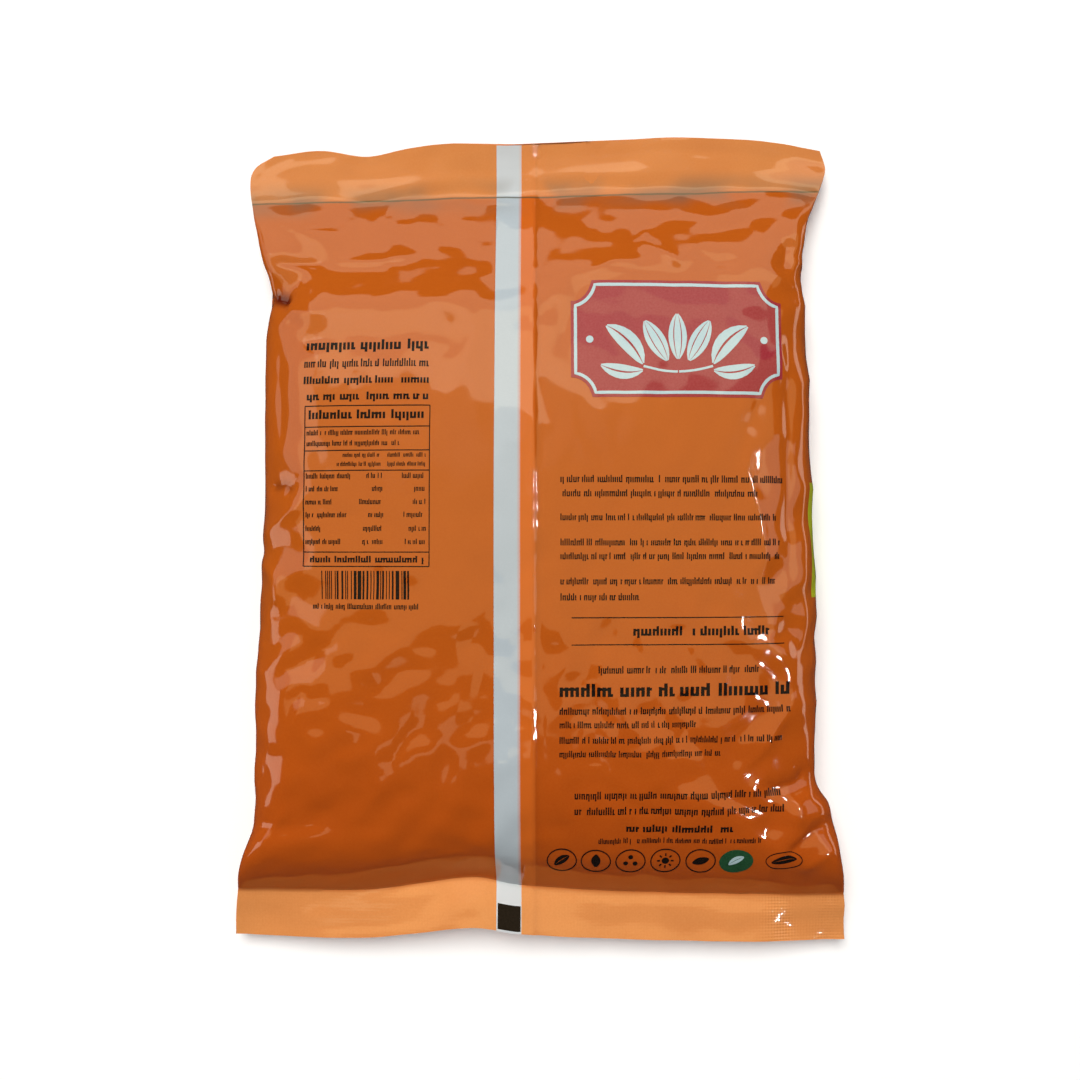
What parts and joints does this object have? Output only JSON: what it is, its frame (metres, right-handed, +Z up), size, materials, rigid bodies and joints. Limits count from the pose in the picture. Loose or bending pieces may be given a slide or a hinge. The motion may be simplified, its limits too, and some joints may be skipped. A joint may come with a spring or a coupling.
{
  "type": "filled pillow pouch",
  "caption": "Sealed pillow pouch of glossy printed film, filled with cardamom pods, lying on its front with the folded fin seam of its back uppermost.",
  "frame": {"origin": "under the middle of the pouch, on the surface that it lies on", "axes": "+Z up, out of the pouch's back; +Y along the pouch towards its top seal; +X across it, to the right as its back is seen"},
  "size_m": [0.222, 0.2912, 0.0468],
  "materials": {
    "laminate_film": "glossy",
    "dried_pods": "matt, ribbed"
  },
  "bodies": {
    "root": {"pouch_film": "laminate_film", "cardamom_pods": "dried_pods"}
  },
  "joints": []
}
